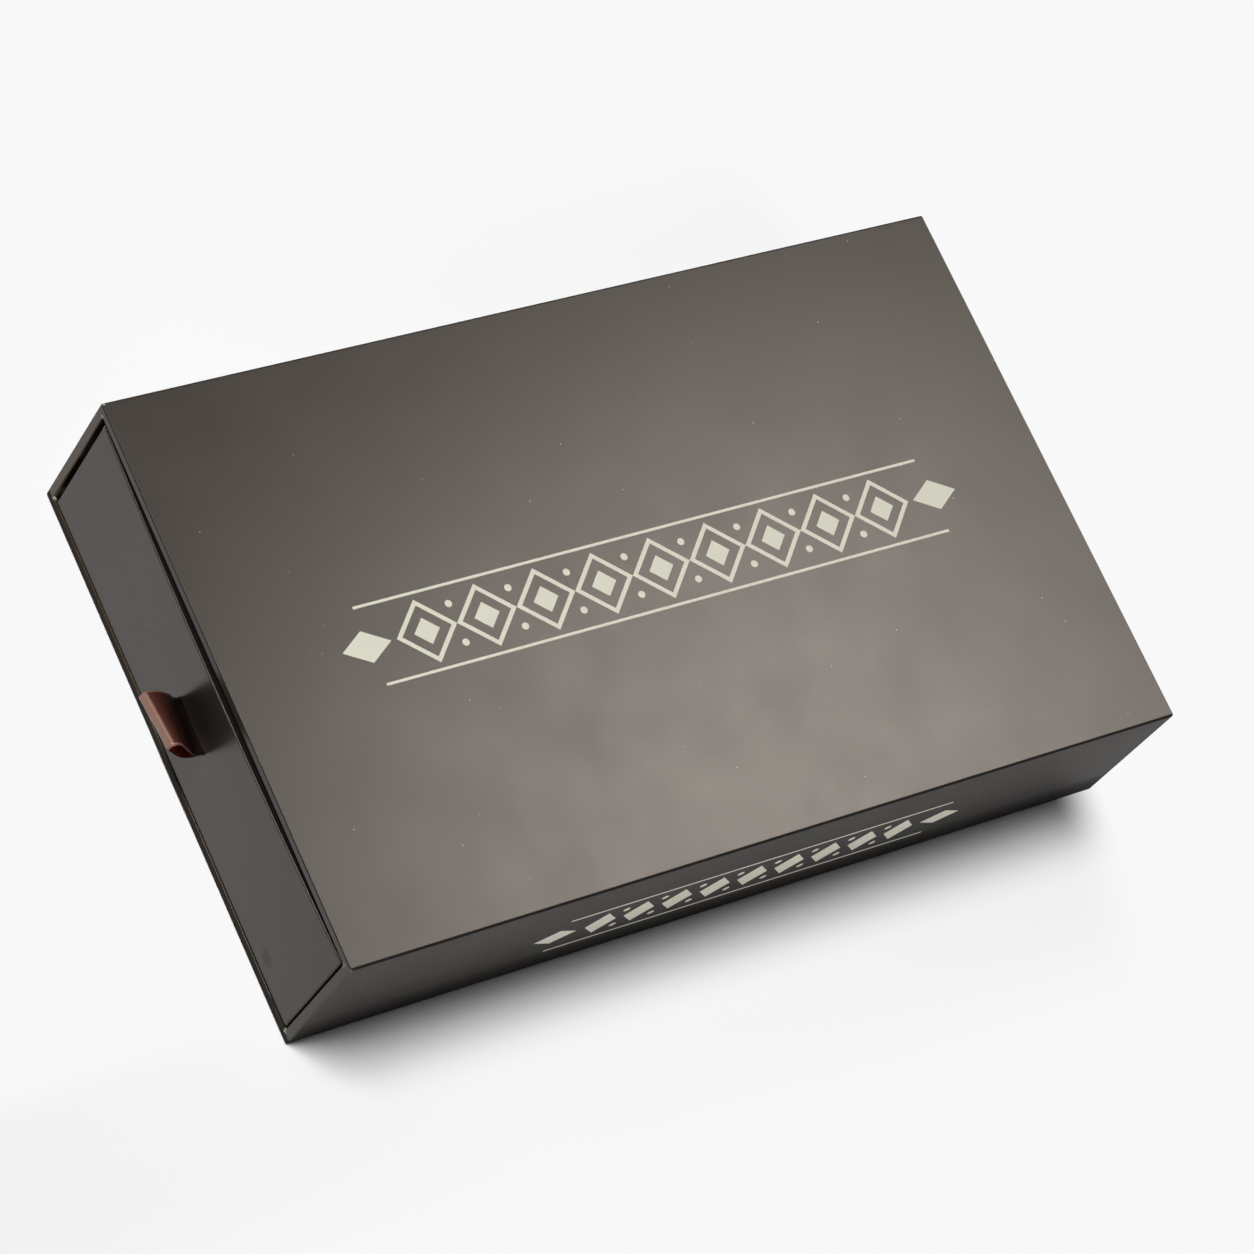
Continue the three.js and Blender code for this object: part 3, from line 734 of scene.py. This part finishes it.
def ribbonRoute(edge, shape):  # y and z of the strip's middle surface, from tail to tail
    neckY = ribbonRoot.y + shape["neck"]
    loop = [(ribbonRoot.y - out * mm, ribbonRoot.z + up * mm) for out, up in edge]

    def insideY(z):  # the tails follow the bow of the drawer front
        return tailsHigh.y - shape["thickness"] / 2 + bowAt(trayMiddle, tailsLow.z) - bowAt(trayMiddle, z)

    def tailPoints(side):  # from its end to the slot, -1 for the lower tail and 1 for the upper one
        slot = ribbonRoot.z + side * shape["layerGap"]
        heights = [slot + side * reach for reach in (shape["tail"], shape["tail"] / 2, shape["turn"])]
        return [(insideY(z), z) for z in heights] + [(insideY(slot) - shape["turn"], slot), (neckY, slot)]

    return [Vector(point) for point in tailPoints(-1) + loop + tailPoints(1)[::-1]]


def smoothPoint(points, place):  # a smooth curve through the points, at a place counted in points
    index = min(int(place), len(points) - 2)
    share = place - index
    before, here = points[max(index - 1, 0)], points[index]
    there, after = points[index + 1], points[min(index + 2, len(points) - 1)]
    leave = (there - before) / 2
    arrive = (after - here) / 2
    return (here * (2 * share ** 3 - 3 * share ** 2 + 1) + leave * (share ** 3 - 2 * share ** 2 + share)
            + there * (3 * share ** 2 - 2 * share ** 3) + arrive * (share ** 3 - share ** 2))


def makeRibbon(shape):
    far = ribbonRoute(shape["farEdge"], shape)
    close = ribbonRoute(shape["nearEdge"], shape)
    middle = [(a + b) / 2 for a, b in zip(far, close)]
    reached = [0]
    for before, after in zip(middle, middle[1:]):
        reached.append(reached[-1] + (after - before).length)
    length = reached[-1]

    bm = bmesh.new()
    bm.loops.layers.uv.new("weave")
    bmesh.ops.create_grid(bm, x_segments=shape["columns"], y_segments=shape["rows"], size=0.5, calc_uvs=True)
    for corner in bm.verts:
        across, along = corner.co.x + 0.5, (corner.co.y + 0.5) * length
        index = min(bisect.bisect_right(reached, along) - 1, len(middle) - 2)
        place = index + (along - reached[index]) / (reached[index + 1] - reached[index])
        y, z = smoothPoint(far, place).lerp(smoothPoint(close, place), across)
        corner.co = (trayMiddle + (across - 0.5) * shape["width"], y, z)
    for face in bm.faces:
        for loop in face.loops:
            loop[bm.loops.layers.uv[0]].uv *= Vector((shape["width"], length)) / mm
    bm.normal_update()
    mesh = bpy.data.meshes.new("ribbon")
    bm.to_mesh(mesh)
    bm.free()
    mesh.shade_smooth()
    ribbon = bpy.data.objects.new("ribbon", mesh)
    bpy.context.scene.collection.objects.link(ribbon)
    wall = ribbon.modifiers.new("cloth", "SOLIDIFY")
    wall.thickness = shape["thickness"]
    wall.offset = 0
    wall.material_offset = 1  # the other face has its own colour
    return ribbon, length


# Polyester satin: warp threads lie along the ribbon and give bright lines across each fold, with a dull
# woven edge. A painted highlight makes the tip of the loop pale, and painted shade darkens the strip near the
# slot; its inner face is painted a lighter red, as painted light, so that the inside of the loop reads dark red
# in its own shade
brownSatin = {
    "colour": "#331710",
    "threadColour": "#3e1f17",
    "edgeColour": "#6a4338",
    "tipHighlightColour": "#7f6156",
    "slotShadeColour": "#060202",
    "sheenTint": "#ffd9cc",
    "ior": 1.5,
    "roughness": 0.3,
    "edgeRoughness": 0.55,
    "anisotropy": 0.6,
    "bump": 0.06,
    "depth": 0.02 * mm,
    "threadHeight": 0.3,  # as a share of the slubs' height
    # the rest is in mm along or across the strip, as its own coordinates are
    "threadSize": 0.25,  # between warp threads, coarser than real ones so that they show
    "slubStretch": (4, 0.35, 1),
    "edgeWidth": 0.5,
    "tipHighlightReach": 1.7,  # from the tip of the loop
    "slotShadeFrom": 6,  # from the tip to where the painted slot shade starts, and to where it is full
    "slotShadeTo": 13,
}
# painted light: the inner face is a brighter copy of the satin, so that the inside of the loop reads dark red
# in its shade
brightenedInnerSatin = dict(brownSatin, colour="#d07c69", threadColour="#b3604f", tipHighlightColour="#d07c69",
                  slotShadeColour="#8a4436")


def makeSatin(name, look, width, length):
    material, tree, _ = startMaterial(name)
    weave = addNode(tree, "UVMap", {"uv_map": "weave"}).outputs[0]
    parts = addNode(tree, "SeparateXYZ", {}, {0: weave}).outputs
    threads = addNode(tree, "Math", {"operation": "MULTIPLY", 1: 2 * math.pi / look["threadSize"]},
                      {0: parts[0]})
    threads = addNode(tree, "Math", {"operation": "SINE"}, {0: threads.outputs[0]})
    stretched = addNode(tree, "Mapping", {"Scale": look["slubStretch"]}, {"Vector": weave})
    slubs = addNode(tree, "TexNoise", {"Scale": 1, "Detail": 3},
                    {"Vector": stretched.outputs[0]}).outputs["Fac"]
    toEdge = addNode(tree, "Math", {"operation": "SUBTRACT", 1: width / mm / 2}, {0: parts[0]})
    toEdge = addNode(tree, "Math", {"operation": "ABSOLUTE"}, {0: toEdge.outputs[0]})
    atEdge = addNode(tree, "MapRange", {"From Min": width / mm / 2 - look["edgeWidth"],
                                        "From Max": width / mm / 2 - 0.7 * look["edgeWidth"]},
                     {"Value": toEdge.outputs[0]}).outputs[0]
    colour = addNode(tree, "Mix", {"data_type": "RGBA", 6: toLinear(look["colour"]),
                                   7: toLinear(look["threadColour"])}, {0: slubs})
    colour = addNode(tree, "Mix", {"data_type": "RGBA", 7: toLinear(look["edgeColour"])},
                     {0: atEdge, 6: colour.outputs[2]})
    toTip = addNode(tree, "Math", {"operation": "SUBTRACT", 1: length / mm / 2}, {0: parts[1]})
    toTip = addNode(tree, "Math", {"operation": "ABSOLUTE"}, {0: toTip.outputs[0]})
    # painted highlight: the tip of the loop is painted pale
    pale = addNode(tree, "MapRange", {"interpolation_type": "SMOOTHSTEP", "From Min": look["tipHighlightReach"],
                                      "From Max": 0.5 * look["tipHighlightReach"]}, {"Value": toTip.outputs[0]})
    colour = addNode(tree, "Mix", {"data_type": "RGBA", 7: toLinear(look["tipHighlightColour"])},
                     {0: pale.outputs[0], 6: colour.outputs[2]})
    # painted shade: the strip darkens towards the slot
    deep = addNode(tree, "MapRange", {"interpolation_type": "SMOOTHSTEP", "From Min": look["slotShadeFrom"],
                                      "From Max": look["slotShadeTo"]}, {"Value": toTip.outputs[0]})
    colour = addNode(tree, "Mix", {"data_type": "RGBA", 7: toLinear(look["slotShadeColour"])},
                     {0: deep.outputs[0], 6: colour.outputs[2]})
    roughness = addNode(tree, "MapRange", {"To Min": look["roughness"], "To Max": look["edgeRoughness"]},
                        {"Value": atEdge})
    height = addNode(tree, "Math", {"operation": "MULTIPLY_ADD", 1: look["threadHeight"]},
                     {0: threads.outputs[0], 2: slubs})
    surface = addNode(tree, "Bump", {"Strength": look["bump"], "Distance": look["depth"]},
                      {"Height": height.outputs[0]})
    tangent = addNode(tree, "Tangent", {"direction_type": "UV_MAP", "uv_map": "weave"})
    shader = addNode(tree, "BsdfPrincipled", {"Anisotropic": look["anisotropy"], "Anisotropic Rotation": 0.25,
                                              "Specular Tint": toLinear(look["sheenTint"]),
                                              "IOR": look["ior"]},
                     {"Base Color": colour.outputs[2], "Roughness": roughness.outputs[0],
                      "Normal": surface.outputs[0], "Tangent": tangent.outputs[0]})
    finishMaterial(tree, shader)
    return material


ribbon, ribbonLength = makeRibbon(ribbonShape)
for name, look in (("brown_polyester_satin", brownSatin), ("brown_polyester_satin_inner", brightenedInnerSatin)):
    ribbon.data.materials.append(makeSatin(name, look, ribbonShape["width"], ribbonLength))
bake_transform(ribbon)
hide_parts("ribbon_loop", "ribbon_tails")


patchShape = {"corner": 2 * mm, "columns": 8, "rows": 4}


def makePatch(shape):  # it follows the bow of the drawer front
    bm = bmesh.new()
    middleY = (patchLow.y + patchHigh.y) / 2
    flat = paperThickness / 2
    cubeBetween(bm, (patchLow.x, middleY - flat, patchLow.z), (patchHigh.x, middleY + flat, patchHigh.z))
    corners = [edge for edge in bm.edges if not isNear(edge.verts[0].co.y, edge.verts[1].co.y)]
    roundEdges(bm, corners, shape["corner"], 4)
    cutAt(bm, evenPlaces(patchLow.x, patchHigh.x, shape["columns"]), (1, 0, 0))
    cutAt(bm, evenPlaces(patchLow.z, patchHigh.z, shape["rows"]), (0, 0, 1))
    for corner in bm.verts:
        corner.co.y += bowAt(trayMiddle, ribbonRoot.z) - bowAt(corner.co.x, corner.co.z)
    return bm


addPiece("ribbonPatch", makePatch(patchShape), blackLining, "tray", ["ribbon_patch"])
print("ribbon made")


# White table: it shows the box's shadow beside the box and beside the pulled tray, and turns plain white
# farther away and right before the mouth
stage = {
    "floorHalf": 4,
    "colour": "#f8f8f8",
    "litColour": "#f0f0f0",  # where the lamp is nearer, so that the floor is one tone
    "litFrom": -70 * mm,  # along y
    "litTo": -200 * mm,
    "shadowFrom": 22 * mm,  # away from the box, the floor shows its own light and shadow up to here
    "plainFrom": 60 * mm,  # and is plain white past here
    "soonerAtEnds": 2.3,  # times sooner at the two ends, where the photograph's shadow fades
    "endInset": 22 * mm,  # the far end counts from this much before the box's own
    "trayReach": 225 * mm,  # and the near end from this much before the drawer front
    "mouthFade": 8 * mm,  # the floor before the mouth is quite plain from this far inside the tray's sides
}


def makeFloor(look):
    bm = bmesh.new()
    bmesh.ops.create_grid(bm, x_segments=1, y_segments=1, size=look["floorHalf"])
    mesh = bpy.data.meshes.new("floor")
    bm.to_mesh(mesh)
    bm.free()
    material, tree, place = startMaterial("white_table")
    farEnd, nearEnd = sleeveHigh.y - look["endInset"], trayLow.y - look["trayReach"]
    middle, half = (0, (farEnd + nearEnd) / 2, 0), (sleeveHigh.x, (farEnd - nearEnd) / 2, 0)
    centred = addNode(tree, "VectorMath", {"operation": "SUBTRACT", 1: middle}, {0: place})
    folded = addNode(tree, "VectorMath", {"operation": "ABSOLUTE"}, {0: centred.outputs[0]})
    past = addNode(tree, "VectorMath", {"operation": "SUBTRACT", 1: half}, {0: folded.outputs[0]})
    past = addNode(tree, "VectorMath", {"operation": "MAXIMUM", 1: (0, 0, 0)}, {0: past.outputs[0]})
    past = addNode(tree, "VectorMath", {"operation": "MULTIPLY", 1: (1, look["soonerAtEnds"], 1)},
                   {0: past.outputs[0]})
    away = addNode(tree, "VectorMath", {"operation": "LENGTH"}, {0: past.outputs[0]})
    plain = addNode(tree, "MapRange", {"interpolation_type": "SMOOTHSTEP", "From Min": look["shadowFrom"],
                                       "From Max": look["plainFrom"]}, {"Value": away.outputs["Value"]})
    aside = addNode(tree, "SeparateXYZ", {}, {0: folded.outputs[0]}).outputs[0]
    y = addNode(tree, "SeparateXYZ", {}, {0: place}).outputs[1]
    ahead = addNode(tree, "Math", {"operation": "LESS_THAN", 1: sleeveLow.y}, {0: y})
    atMouth = addNode(tree, "MapRange", {"interpolation_type": "SMOOTHSTEP", "From Min": sleeveHigh.x,
                                         "From Max": trayHigh.x - look["mouthFade"]}, {"Value": aside})
    atMouth = addNode(tree, "Math", {"operation": "MULTIPLY"}, {0: atMouth.outputs[0], 1: ahead.outputs[0]})
    plain = addNode(tree, "Math", {"operation": "MAXIMUM"}, {0: plain.outputs[0], 1: atMouth.outputs[0]})
    rays = addNode(tree, "LightPath").outputs
    seen = addNode(tree, "Math", {"operation": "MAXIMUM"}, {0: rays["Is Camera Ray"], 1: rays["Is Glossy Ray"]})
    seen = addNode(tree, "Math", {"operation": "MAXIMUM"}, {0: seen.outputs[0], 1: rays["Is Transmission Ray"]})
    plain = addNode(tree, "Math", {"operation": "MULTIPLY"}, {0: plain.outputs[0], 1: seen.outputs[0]})
    lit = addNode(tree, "MapRange", {"From Min": look["litFrom"], "From Max": look["litTo"]}, {"Value": y})
    tone = addNode(tree, "Mix", {"data_type": "RGBA", 6: toLinear(look["colour"]),
                                 7: toLinear(look["litColour"])}, {0: lit.outputs[0]})
    matt = addNode(tree, "BsdfDiffuse", {}, {"Color": tone.outputs[2]})
    white = addNode(tree, "Emission", {"Color": toLinear(look["colour"]), "Strength": 1})
    both = addNode(tree, "MixShader", {}, {0: plain.outputs[0], 1: matt.outputs[0], 2: white.outputs[0]})
    finishMaterial(tree, both)
    mesh.materials.append(material)
    floor = bpy.data.objects.new("floor", mesh)
    bpy.context.scene.collection.objects.link(floor)
    floor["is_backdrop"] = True


# White walls round the table and a dark ceiling, which the paper's sheen shows
studio = {
    "wallColour": "#f8f8f8",
    "ceilingColour": "#1c1c1c",
    "wallTop": 0.03,  # heights as the sine of the angle above the table
    "ceilingStart": 0.3,
}


def makeWorld(look):
    world = bpy.data.worlds.new("studio")
    bpy.context.scene.world = world
    world.use_nodes = True
    tree = world.node_tree
    tree.nodes.clear()
    towards = addNode(tree, "TexCoord").outputs["Generated"]
    height = addNode(tree, "SeparateXYZ", {}, {0: towards}).outputs[2]
    ceiling = addNode(tree, "MapRange", {"interpolation_type": "SMOOTHSTEP", "From Min": look["wallTop"],
                                         "From Max": look["ceilingStart"]}, {"Value": height})
    colour = addNode(tree, "Mix", {"data_type": "RGBA", 6: toLinear(look["wallColour"]),
                                   7: toLinear(look["ceilingColour"])}, {0: ceiling.outputs[0]})
    room = addNode(tree, "Background", {"Strength": 1}, {"Color": colour.outputs[2]})
    addNode(tree, "OutputWorld", {}, {"Surface": room.outputs[0]})


# A large soft lamp overhead, and a reflector behind for the sheen on the top
lamps = {
    "overhead": {"towards": (-0.18, -0.36, 1), "distance": 3, "size": (1.15, 1.15), "power": 96,
                 "objectOnly": False},
    "behind": {"towards": (-0.13, 0.53, 0.84), "distance": 1.3, "size": (0.49, 0.38), "power": 12.5,
               "objectOnly": True},
}


def makeLamps(setups):  # the reflector behind is for the paper and the ribbon alone
    lit = bpy.data.collections.new("litByReflector")
    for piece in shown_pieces():
        if not piece.name.startswith("foil"):
            lit.objects.link(piece)
    for name, setup in setups.items():
        data = bpy.data.lights.new(name, "AREA")
        data.shape = "RECTANGLE"
        data.size, data.size_y = setup["size"]
        data.energy = setup["power"]
        lamp = bpy.data.objects.new(name, data)
        away = Vector(setup["towards"]).normalized()
        lamp.location = cameraSetup["aim"] + away * setup["distance"]
        lamp.rotation_mode = "QUATERNION"
        lamp.rotation_quaternion = away.to_track_quat("Z", "Y")
        bpy.context.scene.collection.objects.link(lamp)
        if setup["objectOnly"]:
            lamp.light_linking.receiver_collection = lit


makeFloor(stage)
makeWorld(studio)
makeLamps(lamps)
print("floor and light made")
